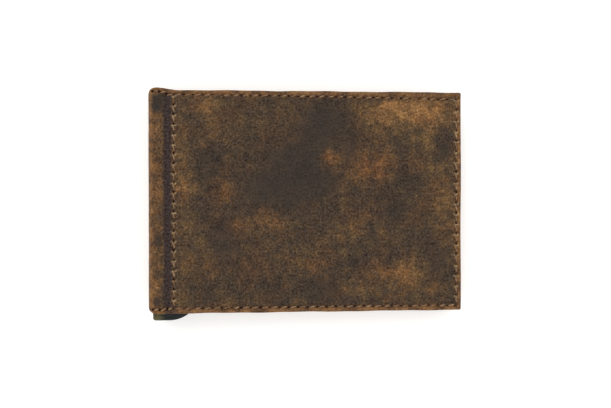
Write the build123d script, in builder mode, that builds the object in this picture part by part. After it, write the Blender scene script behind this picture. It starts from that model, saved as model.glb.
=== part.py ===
from build123d import *
from math import cos, degrees, radians, sin, sqrt, tan
import os

# Leather bifold money clip, closed and lying on its back cover.
# A leather jacket wraps round a spine that carries a sprung metal note clip, and each
# cover is lined with a stack of card slots sewn to it round the edge.
# Millimetres. +X runs from the spine to the opening edge, +Y up the spine, +Z up.
# The origin is under the middle of the back cover, on its outer face.
# Section sketches use "along" (from the spine into a cover) and "depth" (from the
# leather's outer face inwards). Clip sketches use the depth below the spine's outer
# face as their first coordinate and the height up the spine as their second.

# Covers
cover_width = 110.0  # fold corner to opening edge
cover_height = 77.0  # along the spine
corner_radius = 1.0  # at the opening edge
half_taper = 1.4  # degrees between each cover and the middle plane
clip_clearance = 0.5  # between each card stack and the pivot rivet's head

# Layers, from the outside in
leather = 1.0
lining = 0.4
panel = 0.5
slot_sheet = 0.6

# Fold between the spine and a cover
fold_radius = 4.0  # outside of the leather
fold_slot = 0.3  # free width of the fold line between spine and cover leather

# Gutter pressed into each cover's leather beside the card stack
gutter_middle = 6.8  # from the fold corner
gutter_width = 2.4
gutter_depth = 0.5
gutter_crest = 0.8  # radius of its two lips

# Card slots
stack_edge = 7.2  # fold corner to the spine-side edge of the card stack
slot_lips = {"upper": 14.5, "middle": 25.5, "lower": 36.5}  # below the cover's upper edge

# Clip base, a channel with two ears at its lower end
sheet = 0.8
ear_space = 6.0  # between the ears
channel_bend = 0.9
flange_height = 3.2
flange_nose = 1.6
base_margin = 2.5  # from the spine's upper end to the channel's
ear_drop = 2.9  # how far the ears reach below the leather
ear_depth = 16.5  # from the back of the channel to the ear's outer edge
ear_sweep = 10.7  # radius of the ear's lower corner
ear_rise = 11.0  # straight outer edge's end, above the leather's lower edge
ear_crest = 3.5
ear_run = 8.0  # length over which the ear falls to the flange
ear_blend = 6.0

# Clip arm, a tapering channel with a closed heel that turns on the pivot rivet
pivot_depth = 8.6  # from the back of the channel
pivot_rise = 5.0  # above the leather's lower edge
arm_clearance = 0.2  # between the heel and each ear
arm_narrowing = 0.6  # lost on each side between heel and tip
arm_sheet = 0.7
arm_margin = 2.5  # from the channel's upper end to the arm's tip
arm_crown = 2.8  # pivot to the back of the heel
arm_tip_height = 3.2
arm_lift = 0.2  # free height between the arm and the flanges
arm_nose = 1.6
arm_bend = 0.5
arm_edge_blend = 1.2  # radius at the tip's lower corner and along the lower edge
heel_flat = 4.0  # pivot to the two flats that ride on the leaf spring
heel_corner = 3.7  # radius between the two flats
heel_crown = 2.4
heel_floor = 3.0  # how far the closed heel reaches past the pivot
arm_run = 8.0  # length over which the arm's lower edge comes down to the flanges

# Rivets
pin_radius = 1.5
pin_clearance = 0.05
pin_head_radius = 2.6
pin_head = 0.4
rivet_radius = 1.0
rivet_clearance = 0.05
rivet_head_radius = 2.2
rivet_head = 0.7
rivet_tail_radius = 1.5
rivet_tail = 0.2
washer_radius = 2.6
washer_sheet = 0.3
rivet_margin = 6.0  # from the channel's or the spring's upper end to the rivet there
rivet_offset = 11.0  # from the spring's upper end to the lower base rivet

# Leaf spring
spring_sheet = 0.5
spring_side = 0.6  # between the spring and each flange
spring_root = 20.0  # length that lies flat in the channel
spring_ramp = 8.5  # length over which it rises to the heel
spring_toe = 3.0  # half of the length that lies under the heel
spring_bend = 5.0
spring_clearance = 0.03  # below the widest reach of the heel
spring_rivet_head = 0.5

# Depths below the cover's or spine's outer face
flesh = leather
lining_face = flesh + lining
panel_face = lining_face + panel
stack_face = panel_face + len(slot_lips) * slot_sheet
washer_face = flesh - washer_sheet
tail_face = washer_face - rivet_tail
channel_floor = lining_face + sheet
flange_top = lining_face + flange_height
ear_edge = lining_face + ear_depth
pivot = lining_face + pivot_depth
arm_foot = flange_top + arm_lift

# Heights above the middle of the spine
foot = -cover_height / 2
ear_foot = foot - ear_drop
pivot_height = foot + pivot_rise
base_top = cover_height / 2 - base_margin
arm_tip = base_top - arm_margin
spring_foot = pivot_height + spring_toe + spring_ramp
spring_top = spring_foot + spring_root
spring_rivet_height = spring_top - rivet_margin
base_rivets = {"upper": base_top - rivet_margin, "lower": spring_top + rivet_offset}

# Half widths and radii
ear_inside = ear_space / 2
ear_outside = ear_inside + sheet
arm_inside = ear_inside - arm_clearance
arm_tip_side = arm_inside - arm_narrowing
hole_radius = rivet_radius + rivet_clearance
heel_reach = heel_corner + (heel_flat - heel_corner) * sqrt(2)
note_gap = 2 * (ear_outside + pin_head + clip_clearance)

# The spine stands at right angles to the middle plane, halfway between the covers
lean = radians(half_taper)
half_spine = note_gap / 2 + stack_face / cos(lean) + stack_edge * tan(lean)
fold_turn = 90 + half_taper
fold_run = fold_radius * tan(radians(fold_turn / 2))
fold_half = fold_turn / 2 - degrees(fold_slot / 2 / fold_radius)
spine_flat = half_spine - fold_run

spine_up = Vector(sin(lean), 0, cos(lean))
inward = Vector(cos(lean), 0, -sin(lean))
fold_corner = Vector(-cover_width / 2, 0, 0)
spine_middle = fold_corner + spine_up * half_spine
back_plane = Plane(origin=fold_corner, x_dir=(1, 0, 0), z_dir=(0, 0, 1))
back_section = Plane(origin=fold_corner, x_dir=(1, 0, 0), z_dir=(0, -1, 0))
spine_section = Plane(origin=spine_middle, x_dir=spine_up, z_dir=(0, 1, 0))
spine_face = Plane(origin=spine_middle, x_dir=-spine_up, z_dir=inward)
middle_plane = Plane(origin=spine_middle, x_dir=inward, z_dir=spine_up)
inward_axis = Axis(spine_middle, inward)

os.makedirs("parts", exist_ok=True)


def write(piece, name):
    """Label a finished piece and write it as one node."""
    piece.part.label = name
    export_step(piece.part, f"parts/{name}.step")


def write_pair(piece, name):
    """Write a back cover piece, and its mirror image in the middle plane for the front cover."""
    write(piece, f"back_{name}")
    with BuildPart() as twin:
        mirror(piece.part, about=middle_plane)
    write(twin, f"front_{name}")


# ---- Covers ----


def fold_section(outer, inner):
    """Section of a cover layer, from its half of the fold to the opening edge."""
    centre = (fold_run, fold_radius)
    with BuildSketch() as section:
        with BuildLine():
            outside = CenterArc(centre, fold_radius - outer, 270 - fold_half, fold_half)
            inside = CenterArc(centre, fold_radius - inner, 270 - fold_half, fold_half)
            Line(outside @ 0, inside @ 0)
            Polyline(outside @ 1, (cover_width, outer), (cover_width, inner), inside @ 1)
        make_face()
    return section.sketch


def opening_corners(piece):
    """The upright edges at the opening edge's two corners."""
    return piece.edges().filter_by(Axis.Z).group_by(Axis.X)[-1]


def stack_sheet(top):
    """Outline of a sheet of the card stack, up to a given height."""
    with BuildSketch() as outline:
        with BuildLine():
            Polyline(
                (stack_edge, foot),
                (cover_width, foot),
                (cover_width, top),
                (stack_edge, top),
                close=True,
            )
        make_face()
    return outline.sketch


# Cover leather
gutter_radius = (gutter_width**2 / 4 + gutter_depth**2) / (2 * gutter_depth)
with BuildPart() as cover_leather:
    with BuildSketch(back_section) as section:
        add(fold_section(0, flesh))
        with Locations((gutter_middle, gutter_depth - gutter_radius)):
            Circle(gutter_radius, mode=Mode.SUBTRACT)
        gutter_lips = section.vertices().group_by(Axis.Y)[0].sort_by(Axis.X)[1:3]
        fillet(gutter_lips, gutter_crest)
    extrude(amount=cover_height / 2, both=True)
    fillet(opening_corners(cover_leather), corner_radius)
write_pair(cover_leather, "cover_leather")

# Cover lining
with BuildPart() as cover_lining:
    with BuildSketch(back_section):
        add(fold_section(flesh, lining_face))
    extrude(amount=cover_height / 2, both=True)
    fillet(opening_corners(cover_lining), corner_radius)
write_pair(cover_lining, "lining")

# Panel that the card slots are sewn to
with BuildPart() as slot_panel:
    with BuildSketch(back_plane.offset(lining_face)):
        add(stack_sheet(cover_height / 2))
    extrude(amount=panel)
    fillet(opening_corners(slot_panel), corner_radius)
write_pair(slot_panel, "slot_panel")

# Card slots, each a step lower than the one behind it
for layer, (name, drop) in enumerate(slot_lips.items()):
    with BuildPart() as card_slot:
        with BuildSketch(back_plane.offset(panel_face + layer * slot_sheet)):
            add(stack_sheet(cover_height / 2 - drop))
        extrude(amount=slot_sheet)
        fillet(opening_corners(card_slot), corner_radius)
    write_pair(card_slot, f"card_slot_{name}")


# ---- Spine ----


def spine_outline(outer, inner):
    """Section of a spine layer, with its half of the fold at each side."""
    centre = (spine_flat, fold_radius)
    with BuildSketch() as section:
        with BuildLine():
            outside = CenterArc(centre, fold_radius - outer, 270, fold_half)
            inside = CenterArc(centre, fold_radius - inner, 270, fold_half)
            Line(outside @ 1, inside @ 1)
            Line((0, outer), outside @ 0)
            Line((0, inner), inside @ 0)
            mirror(about=Plane.YZ)
        make_face()
    return section.sketch


def disc(height, radius, start, end):
    """Disc at a height on the spine, from one depth to another."""
    with BuildPart() as piece:
        with BuildSketch(spine_face.offset(start)):
            with Locations((0, height)):
                Circle(radius)
        extrude(amount=end - start)
    return piece.part


# Spine leather, thinned behind each washer
with BuildPart() as spine_leather:
    with BuildSketch(spine_section):
        add(spine_outline(0, flesh))
    extrude(amount=cover_height / 2, both=True)
    for height in base_rivets.values():
        recess = disc(height, washer_radius + rivet_clearance, tail_face, flesh)
        add(recess, mode=Mode.SUBTRACT)
write(spine_leather, "spine_leather")

# Spine lining
with BuildPart() as spine_lining:
    with BuildSketch(spine_section):
        add(spine_outline(flesh, lining_face))
    extrude(amount=cover_height / 2, both=True)
    for height in base_rivets.values():
        add(disc(height, hole_radius, flesh, lining_face), mode=Mode.SUBTRACT)
write(spine_lining, "spine_lining")


# ---- Clip ----

# Clip base
with BuildPart() as clip_base:
    with BuildSketch(middle_plane):
        with BuildLine():
            FilletPolyline(
                (lining_face, ear_foot),
                (ear_edge, ear_foot),
                (ear_edge, foot + ear_rise),
                (flange_top, foot + ear_rise + ear_run),
                (flange_top, base_top),
                (lining_face, base_top),
                radius=(channel_bend, ear_sweep, ear_crest, ear_blend, flange_nose, 0),
                close=True,
            )
        make_face()
    extrude(amount=ear_outside, both=True)
    back_edges = clip_base.edges().filter_by(Axis.Y).group_by(inward_axis)[0]
    fillet(back_edges, channel_bend)
    with BuildSketch(middle_plane):
        with BuildLine():
            Polyline(
                (channel_floor, ear_foot),
                (ear_edge, ear_foot),
                (ear_edge, base_top),
                (channel_floor, base_top),
                close=True,
            )
        make_face()
    extrude(amount=ear_inside, both=True, mode=Mode.SUBTRACT)
    with BuildSketch(middle_plane):
        with Locations((pivot, pivot_height)):
            Circle(pin_radius + pin_clearance)
    extrude(amount=ear_outside, both=True, mode=Mode.SUBTRACT)
    for height in (*base_rivets.values(), spring_rivet_height):
        add(disc(height, hole_radius, lining_face, channel_floor), mode=Mode.SUBTRACT)
write(clip_base, "clip_base")


def arm_side(inset, run, blend):
    """Side profile, whose lower edge comes down over a run and has a blend radius."""
    heel_end = pivot_height - heel_flat + inset
    heel_front = pivot_height + heel_floor
    with BuildSketch() as side:
        with BuildLine():
            FilletPolyline(
                (pivot - heel_flat + inset, heel_end),
                (pivot + arm_crown - inset, heel_end),
                (arm_foot + arm_tip_height - inset, arm_tip - inset),
                (arm_foot - inset, arm_tip - inset),
                (arm_foot - inset, heel_front + run),
                (pivot - heel_flat + inset, heel_front),
                radius=(heel_corner - inset, heel_crown - inset, arm_nose - inset, *(blend,) * 3),
                close=True,
            )
        make_face()
    return side.sketch


def arm_plan(inset):
    """Plan, wide at the heel and narrow at the tip."""
    heel = arm_inside - inset
    tip = arm_tip_side - inset
    heel_end = pivot_height - heel_flat
    with BuildSketch() as plan:
        with BuildLine():
            Polyline((-heel, heel_end), (heel, heel_end), (tip, arm_tip), (-tip, arm_tip), close=True)
        make_face()
    return plan.sketch


def arm_block(inset, run, blend):
    """Tapering block with the arm's side profile and plan."""
    with BuildPart() as block:
        with BuildSketch(middle_plane):
            add(arm_side(inset, run, blend))
        extrude(amount=ear_inside, both=True)
        with BuildSketch(spine_face):
            add(arm_plan(inset))
        extrude(amount=ear_edge, mode=Mode.INTERSECT)
    return block.part


# Clip arm
with BuildPart() as clip_arm:
    add(arm_block(0, arm_run, arm_edge_blend))
    sides = clip_arm.faces().sort_by(Axis(spine_middle, spine_up))
    fillet((sides[0] + sides[-1]).edges(), arm_bend)
    add(arm_block(arm_sheet, 0, 0), mode=Mode.SUBTRACT)
    with BuildSketch(middle_plane):
        with Locations((pivot, pivot_height)):
            Circle(pin_radius + pin_clearance)
    extrude(amount=ear_inside, both=True, mode=Mode.SUBTRACT)
write(clip_arm, "clip_arm")

# Pivot rivet, through both ears and the heel
with BuildPart() as pivot_rivet:
    with BuildSketch(middle_plane):
        with Locations((pivot, pivot_height)):
            Circle(pin_radius)
    extrude(amount=ear_outside + pin_head, both=True)
    for start in (ear_outside, -ear_outside - pin_head):
        with BuildSketch(middle_plane.offset(start)):
            with Locations((pivot, pivot_height)):
                Circle(pin_head_radius)
        extrude(amount=pin_head)
    heads = pivot_rivet.faces().sort_by(Axis(spine_middle, spine_up))
    fillet((heads[0] + heads[-1]).edges(), pin_head / 2)
write(pivot_rivet, "pivot_rivet")

# Leaf spring, flat in the channel and raised under the heel
spring_line = channel_floor + spring_sheet / 2
toe_line = pivot - heel_reach - spring_clearance - spring_sheet / 2
with BuildPart() as leaf_spring:
    with BuildLine(middle_plane) as spring_path:
        FilletPolyline(
            (spring_line, spring_top),
            (spring_line, spring_foot),
            (toe_line, pivot_height + spring_toe),
            (toe_line, pivot_height - spring_toe),
            radius=spring_bend,
        )
    section_plane = Plane(spring_path.line @ 0, x_dir=spine_up, z_dir=spring_path.line % 0)
    with BuildSketch(section_plane):
        Rectangle(2 * (ear_inside - spring_side), spring_sheet)
    sweep()
    add(disc(spring_rivet_height, hole_radius, channel_floor, pivot), mode=Mode.SUBTRACT)
write(leaf_spring, "leaf_spring")


# Base rivets, from a washer behind the lining to a domed head in the channel
head_face = channel_floor + rivet_head
for name, height in base_rivets.items():
    with BuildPart() as base_rivet:
        add(disc(height, rivet_tail_radius, tail_face, washer_face))
        add(disc(height, rivet_radius, washer_face, channel_floor))
        add(disc(height, rivet_head_radius, channel_floor, head_face))
        fillet(base_rivet.faces().sort_by(inward_axis)[-1].edges(), rivet_head / 2)
    write(base_rivet, f"base_rivet_{name}")

    with BuildPart() as washer:
        add(disc(height, washer_radius, washer_face, flesh))
        add(disc(height, hole_radius, washer_face, flesh), mode=Mode.SUBTRACT)
    write(washer, f"rivet_washer_{name}")

# Spring rivet, flush behind the channel
spring_face = channel_floor + spring_sheet
spring_head_face = spring_face + spring_rivet_head
with BuildPart() as spring_rivet:
    add(disc(spring_rivet_height, rivet_radius, lining_face, spring_face))
    add(disc(spring_rivet_height, rivet_head_radius, spring_face, spring_head_face))
    fillet(spring_rivet.faces().sort_by(inward_axis)[-1].edges(), spring_rivet_head / 2)
write(spring_rivet, "spring_rivet")
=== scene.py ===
import math

import bmesh
import bpy
import numpy as np
from mathutils import Euler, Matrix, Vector, noise


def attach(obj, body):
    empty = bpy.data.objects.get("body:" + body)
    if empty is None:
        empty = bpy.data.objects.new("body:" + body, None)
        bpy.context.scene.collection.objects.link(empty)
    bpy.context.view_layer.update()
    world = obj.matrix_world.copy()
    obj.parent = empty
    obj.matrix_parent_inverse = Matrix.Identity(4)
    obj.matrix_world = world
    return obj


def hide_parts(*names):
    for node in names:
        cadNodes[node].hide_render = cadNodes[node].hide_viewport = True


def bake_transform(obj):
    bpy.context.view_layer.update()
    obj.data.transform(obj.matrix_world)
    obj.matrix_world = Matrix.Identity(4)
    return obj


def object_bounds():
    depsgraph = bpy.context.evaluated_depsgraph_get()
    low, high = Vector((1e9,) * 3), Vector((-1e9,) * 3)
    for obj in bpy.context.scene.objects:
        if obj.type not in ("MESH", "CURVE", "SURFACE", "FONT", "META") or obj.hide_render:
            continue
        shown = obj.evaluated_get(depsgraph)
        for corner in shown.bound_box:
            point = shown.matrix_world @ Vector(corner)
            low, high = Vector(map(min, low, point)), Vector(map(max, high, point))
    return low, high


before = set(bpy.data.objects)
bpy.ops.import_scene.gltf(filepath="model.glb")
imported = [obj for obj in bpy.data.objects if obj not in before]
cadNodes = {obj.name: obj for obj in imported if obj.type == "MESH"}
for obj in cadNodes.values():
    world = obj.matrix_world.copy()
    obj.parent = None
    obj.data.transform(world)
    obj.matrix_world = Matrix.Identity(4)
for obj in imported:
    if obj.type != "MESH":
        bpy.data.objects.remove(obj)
cadBox = [[float(x) for x in corner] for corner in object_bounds()]
print("frame loaded with", len(cadNodes), "CAD nodes")

mm = 0.001

# how the wallet folds
wallet = {
    "lean": math.radians(1.4),  # each cover leans in by this much when closed
    "foldCorner": (-55 * mm, 0.0, 0.0),  # where the back cover's face meets the spine's
    "halfSpine": 8.577 * mm,
    "foldRadius": 4 * mm,
    "coverWidth": 110 * mm,
    "halfHeight": 38.5 * mm,
    "cornerRadius": 0.55 * mm,
    "leather": 1 * mm,
    "lining": 0.4 * mm,
    "panel": 0.5 * mm,
    "slotSheet": 0.6 * mm,
    "stackEdge": 7.2 * mm,  # the card slots start this far from the spine
    "slotLips": {"upper": 24 * mm, "middle": 13 * mm, "lower": 2 * mm},
}
coverSeeds = {"back": 11, "front": 23}  # so that the two covers' relief differs
turn = math.pi / 2 + wallet["lean"]
tangentRun = wallet["foldRadius"] * math.tan(turn / 2)
flatSpine = wallet["halfSpine"] - tangentRun
arcRun = wallet["foldRadius"] * turn
cornerRun = flatSpine + arcRun - tangentRun  # run at the fold corner, where across is 0
endRun = cornerRun + wallet["coverWidth"]
halfHeight = wallet["halfHeight"]

spineUp = np.array([math.sin(wallet["lean"]), 0, math.cos(wallet["lean"])])
spineIn = np.array([math.cos(wallet["lean"]), 0, -math.sin(wallet["lean"])])
spineMiddle = np.array(wallet["foldCorner"]) + spineUp * wallet["halfSpine"]


def foldedPlace(run, height, depth, side):
    # run goes along the leather from the spine's middle, depth from the outer face inwards
    run, height, depth = np.broadcast_arrays(run, height, depth)
    angle = np.clip((run - flatSpine) / wallet["foldRadius"], 0, turn)[..., None]
    centre = spineMiddle - spineUp * flatSpine + spineIn * wallet["foldRadius"]
    outwards = -spineIn * np.cos(angle) - spineUp * np.sin(angle)
    place = centre + (wallet["foldRadius"] - depth[..., None]) * outwards
    place = place + spineUp * np.maximum(flatSpine - run, 0)[..., None]
    place = place + np.array([1.0, 0, 0]) * np.maximum(run - flatSpine - arcRun, 0)[..., None]
    if side == "front":
        outwards = outwards - 2 * (outwards @ spineUp)[..., None] * spineUp
        place = place - 2 * ((place - spineMiddle) @ spineUp)[..., None] * spineUp
    place = place + np.array([0, 1.0, 0]) * height[..., None]
    return place, outwards + 0 * place


def addObject(name, data):
    made = bpy.data.objects.new(name, data)
    bpy.context.scene.collection.objects.link(made)
    return made


def ease(value, low, high):
    share = np.clip((value - low) / (high - low), 0, 1)
    return share * share * (3 - 2 * share)


def bump(value, middle, width):
    return np.exp(-(((value - middle) / width) ** 2))


def softNoise(run, height, size, seed):
    points = np.stack([run / size, height / size, 0 * run + seed * 7.31], -1)
    flat = [noise.noise(Vector(p)) for p in points.reshape(-1, 3)]
    return np.array(flat).reshape(run.shape)


# the outline and the seams of a cover
outline = {
    "shoulderRise": 0.82 * mm,  # the leather swells past the covers beside the fold
    "lowerRise": 0.1 * mm,  # but hardly at the lower end
    "swellStarts": (-2.2 * mm, 2 * mm),
    "swellEnds": (2.6 * mm, 10.5 * mm),
    "spineDrop": 1.45 * mm,  # and is pulled in over the spine
    "dropStart": -3.2 * mm,
    "topDropEnd": 0.2 * mm,
    "lowerDropEnd": 2.2 * mm,
    "ripple": 0.07 * mm,
    "longRipple": 4.9 * mm,
    "shortRipple": 1.9 * mm,
    "endRipple": 6.1 * mm,
}
seams = {
    "pitch": 3.32 * mm,
    "leftAcross": 8.7 * mm,
    "topInset": (1.6 * mm, 2.5 * mm),  # at the spine's end and at the free end
    "bottomInset": (1.75 * mm, 1.65 * mm),
    "foldLift": 0.35 * mm,  # the seam runs nearer the edge over the fold
    "stitchesAcross": 30,
    "stitchesUp": 22,
    "stitchesUpEnd": 20,  # the column at the free end has longer stitches
    "foldStitches": 3,
    "foldPitch": 2.47 * mm,
    "dentRadius": 0.42 * mm,  # of the leather pressed down at a needle hole
    "rimRadius": 0.72 * mm,  # of the painted highlight on the leather pulled up beside it
    "rimWidth": 0.24 * mm,
}
rightAcross = seams["leftAcross"] + seams["pitch"] * seams["stitchesAcross"]


def edgeShift(across, top):
    # how far a long edge stands past a straight one
    swell = ease(across, *outline["swellStarts"]) * (1 - ease(across, *outline["swellEnds"]))
    rise = outline["shoulderRise" if top else "lowerRise"] * swell
    dropEnd = outline["topDropEnd" if top else "lowerDropEnd"]
    drop = outline["spineDrop"] * (1 - ease(across, outline["dropStart"], dropEnd))
    wave = np.sin(across / outline["longRipple"] + 2 * top) + 0.6 * np.sin(across / outline["shortRipple"])
    return rise - drop + outline["ripple"] * wave * ease(across, 6 * mm, 12 * mm)


def seamHeight(across, top):
    inset = seams["topInset" if top else "bottomInset"]
    share = np.clip((across - seams["leftAcross"]) / (rightAcross - seams["leftAcross"]), 0, 1)
    nearFold = 1 - ease(across, 3 * mm, 8 * mm)
    height = halfHeight - inset[0] - (inset[1] - inset[0]) * share**2
    height = height + nearFold * (edgeShift(across, top) + seams["foldLift"])
    return height if top else -height


def shaped(run, height, inset):
    # moves a rectangular grid onto the cover's real outline
    across = run - cornerRun
    share = np.abs(height) / halfHeight
    shift = np.where(height > 0, edgeShift(across, 1), edgeShift(across, 0)) - inset
    height = height + np.sign(height) * shift * share**6
    wave = outline["ripple"] * np.sin(height / outline["endRipple"])
    run = run + (wave - inset) * ease(across, 90 * mm, wallet["coverWidth"])
    # the two corners at the free end are rounded
    radius = wallet["cornerRadius"]
    arcStartRun = endRun - inset - radius
    arcStartHeight = halfHeight - inset - radius
    overRun = run - arcStartRun
    overHeight = np.abs(height) - arcStartHeight
    inCorner = (overRun > 0) & (overHeight > 0)
    longest = np.maximum(overRun, overHeight)
    shrink = np.where(inCorner, longest / np.maximum(np.hypot(overRun, overHeight), 1e-9), 1.0)
    run = np.where(inCorner, arcStartRun + overRun * shrink, run)
    height = np.where(inCorner, np.sign(height) * (arcStartHeight + overHeight * shrink), height)
    return run, height


def seamNearness(across, height, width):
    # 1 on a seam line, falling off over width; the same for the needle holes, and for
    # the painted highlight on the leather pulled up below each hole of the two columns
    pitch = seams["pitch"]
    dent = seams["dentRadius"]
    line = 0 * across
    holes = 0 * across
    rimHighlights = 0 * across
    inRun = ease(across, 0.6 * mm, 1.6 * mm) * (1 - ease(across, rightAcross, rightAcross + 1 * mm))
    along = (across - seams["leftAcross"]) / pitch
    gap = (along - np.round(along)) * pitch
    for top in (True, False):
        away = height - seamHeight(across, top)
        line = np.maximum(line, bump(away, 0, width) * inRun)
        holes = np.maximum(holes, bump(np.hypot(gap, away), 0, dent) * inRun)
    margin = 0.3 * mm
    inHeight = height < seamHeight(across, True) + margin
    inHeight = inHeight & (height > seamHeight(across, False) - margin)
    columns = {seams["leftAcross"]: seams["stitchesUp"], rightAcross: seams["stitchesUpEnd"]}
    for column, count in columns.items():
        upStart = seamHeight(column, False)
        step = (seamHeight(column, True) - upStart) / count
        away = across - column
        line = np.maximum(line, bump(away, 0, width) * inHeight)
        rise = (height - upStart) / step
        gap = (rise - np.round(rise)) * step
        reach = np.hypot(gap, away)
        holes = np.maximum(holes, bump(reach, 0, dent) * inHeight)
        # a painted highlight where the leather is pulled up below each hole
        pulledHighlight = bump(reach, seams["rimRadius"], seams["rimWidth"]) * ease(-gap, 0.1 * mm, 0.5 * mm)
        rimHighlights = np.maximum(rimHighlights, pulledHighlight * inHeight)
    return line, holes, rimHighlights


# the outer leather's shape
jacket = {
    "step": 0.486 * mm,  # about a seventh of a stitch
    "gutterAcross": 6.7 * mm,
    "gutterFlat": 0.45 * mm,
    "gutterHalf": 1.45 * mm,
    "gutterDepth": 0.5 * mm,
    "panelRise": 0.3 * mm,
    "panelShare": 0.65,  # of the rise, inside the seams
    "panelStarts": (8 * mm, 10.2 * mm),
    "panelFromEdge": (1.2 * mm, 4.2 * mm),
    "borderShare": 0.35,  # outside the seams
    "borderStarts": (8 * mm, 9.4 * mm),
    "shoulderShare": 0.3,  # between the fold and the gutter
    "shoulderAcross": 2.6 * mm,
    "shoulderWidth": 2.2 * mm,
    "seamSink": 0.26 * mm,
    "seamWidth": 0.55 * mm,
    "holeSink": 0.2 * mm,
    "wave": 0.16 * mm,
    "waveSize": 17 * mm,
    "grainWave": 0.05 * mm,
    "grainSize": 3.1 * mm,
    "edgeRound": 0.36 * mm,
}


def jacketRelief(run, height, side):
    # how far the outer face stands proud of the plain fold
    seed = coverSeeds[side]
    across = run - cornerRun
    fromGutter = np.abs(across - jacket["gutterAcross"])
    gutter = 1 - ease(fromGutter, jacket["gutterFlat"], jacket["gutterHalf"])
    line, holes, _ = seamNearness(across, height, jacket["seamWidth"])
    fromEdge = np.minimum(halfHeight - np.abs(height), endRun - run)
    panel = ease(across, *jacket["panelStarts"]) * ease(fromEdge, *jacket["panelFromEdge"])
    border = ease(across, *jacket["borderStarts"])
    shoulder = bump(across, jacket["shoulderAcross"], jacket["shoulderWidth"])
    relief = jacket["panelShare"] * panel + jacket["borderShare"] * border
    relief = jacket["panelRise"] * (relief + jacket["shoulderShare"] * shoulder)
    relief = relief - jacket["gutterDepth"] * gutter
    relief = relief - (jacket["seamSink"] * line + jacket["holeSink"] * holes) * (1 - 0.6 * gutter)
    loose = ease(across, -1 * mm, 14 * mm)
    wave = softNoise(run, height, jacket["waveSize"], seed) * (0.35 + 0.65 * loose)
    relief = relief + jacket["wave"] * wave
    relief = relief + jacket["grainWave"] * softNoise(run, height, jacket["grainSize"], seed + 3)
    # the butt joint in the spine's middle is level, so that both halves meet
    return relief * ease(run, 0, 2.2 * mm)


def gridLines(start, end, step, fineStart=True, fineEnd=True):
    # even steps, with closer lines at a cut edge
    fine = [0.07 * mm, 0.18 * mm, 0.34 * mm]
    count = max(2, round((end - start) / step))
    lines = list(np.linspace(start, end, count + 1))
    if fineStart:
        lines += [start + f for f in fine]
    if fineEnd:
        lines += [end - f for f in fine]
    return np.array(sorted(lines))


def edgeDistance(run, height, runs, heights, spineSide=True):
    away = np.minimum(height - heights[0], heights[-1] - height)
    away = np.minimum(away, runs[-1] - run)
    if spineSide:
        away = np.minimum(away, run - runs[0])
    return away


def leatherSheet(name, side, runs, heights, top, bottom, inset, rounding, buttJoint=False, relief=False):
    # a closed sheet of leather between two depths, with rounded cut edges
    run, height = np.meshgrid(runs, heights, indexing="ij")
    fromEdge = edgeDistance(run, height, runs, heights, not buttJoint)
    toCurve = np.clip(rounding - fromEdge, 0, rounding)
    drop = rounding - np.sqrt(np.maximum(rounding**2 - toCurve**2, 0))
    run, height = shaped(run, height, inset)
    raised = jacketRelief(run, height, side) if relief else 0 * run
    outer = top - raised + drop
    inner = bottom - 0.35 * drop
    columns, rows = run.shape
    index = np.arange(columns * rows).reshape(columns, rows)
    loop = list(index[:, 0]) + list(index[-1, 1:]) + list(index[-2::-1, -1]) + list(index[0, -2:0:-1])
    flatRun, flatHeight = run.ravel(), height.ravel()
    ringRun, ringHeight = flatRun[loop], flatHeight[loop]
    # the rings between the two faces bulge a little
    ring = np.stack([ringRun, ringHeight])
    tangent = np.roll(ring, -1, axis=1) - np.roll(ring, 1, axis=1)
    tangent = tangent / np.maximum(np.hypot(*tangent), 1e-9)
    pushRun, pushHeight = tangent[1], -tangent[0]
    if buttJoint:
        onJoint = ringRun <= runs[0] + 1e-7
        pushRun = np.where(onJoint, 0, pushRun)
        pushHeight = np.where(onJoint, 0, pushHeight)
    allRun, allHeight, allDepth = [flatRun], [flatHeight], [outer.ravel()]
    layDepth = [drop.ravel()]
    rings = (0.33, 0.67)
    for share in rings:
        bulge = 0.07 * (bottom - top) * math.sin(math.pi * share)
        allRun.append(ringRun + pushRun * bulge)
        allHeight.append(ringHeight + pushHeight * bulge)
        ringDepth = outer.ravel()[loop] * (1 - share) + inner.ravel()[loop] * share
        allDepth.append(ringDepth)
        layDepth.append(ringDepth - top)
    allRun.append(flatRun)
    allHeight.append(flatHeight)
    allDepth.append(inner.ravel())
    layDepth.append(inner.ravel() - top)
    allRun, allHeight, allDepth = (np.concatenate(a) for a in (allRun, allHeight, allDepth))
    place, _ = foldedPlace(allRun, allHeight, allDepth, side)
    corners = (index[:-1, :-1], index[1:, :-1], index[1:, 1:], index[:-1, 1:])
    quads = np.stack([corner.ravel() for corner in corners], -1)
    faces = quads.tolist()
    size = columns * rows
    lower = size + len(rings) * len(loop)
    faces += (quads[:, ::-1] + lower).tolist()
    ringIds = [np.array(loop)]
    for number in range(len(rings)):
        ringIds.append(size + number * len(loop) + np.arange(len(loop)))
    ringIds.append(np.array(loop) + lower)
    for near, far in zip(ringIds[:-1], ringIds[1:]):
        band = np.stack([near, far, np.roll(far, -1), np.roll(near, -1)], -1)
        faces += band.tolist()
    mesh = bpy.data.meshes.new(name)
    mesh.from_pydata(place.tolist(), [], faces)
    work = bmesh.new()
    work.from_mesh(mesh)
    bmesh.ops.recalc_face_normals(work, faces=work.faces)
    work.to_mesh(mesh)
    work.free()
    mesh.polygons.foreach_set("use_smooth", [True] * len(mesh.polygons))
    mesh.set_sharp_from_angle(angle=math.radians(50))
    away = 0.4 if side == "front" else 0.0  # keeps the two covers' grain apart
    lay = np.stack([allRun + away, allHeight, np.concatenate(layDepth)], -1)
    addAttribute(mesh, "lay", "FLOAT_VECTOR", lay)
    return addObject(name, mesh), allRun, allHeight


def addAttribute(mesh, name, kind, values):
    made = mesh.attributes.new(name, kind, "POINT")
    key = "vector" if kind == "FLOAT_VECTOR" else "value"
    made.data.foreach_set(key, np.asarray(values, np.float32).ravel())


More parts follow.
